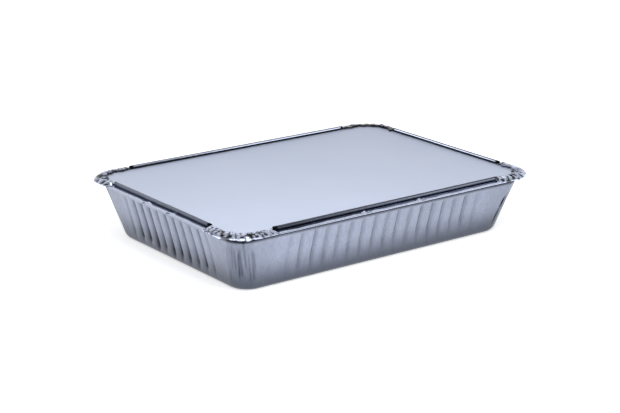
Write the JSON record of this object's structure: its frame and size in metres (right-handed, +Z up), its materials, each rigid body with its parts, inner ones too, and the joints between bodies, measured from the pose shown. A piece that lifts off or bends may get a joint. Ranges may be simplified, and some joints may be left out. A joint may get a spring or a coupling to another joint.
{
  "type": "aluminium foil tray with board lid",
  "caption": "Shallow rectangular foil food tray with fluted leaning walls and a ledge, closed by a flat board lid held under the folded, beaded rim.",
  "frame": {"origin": "under the middle of the base, on the surface that the tray stands on", "axes": "+X along the long sides, +Y along the short sides, +Z up through the lid"},
  "size_m": [0.276, 0.2, 0.0475],
  "materials": {
    "foil": "satin rolled foil, pressed into flutes",
    "board": "smooth coated board"
  },
  "bodies": {
    "root": {"foil_tray": "foil", "board_lid": "board"}
  },
  "joints": []
}
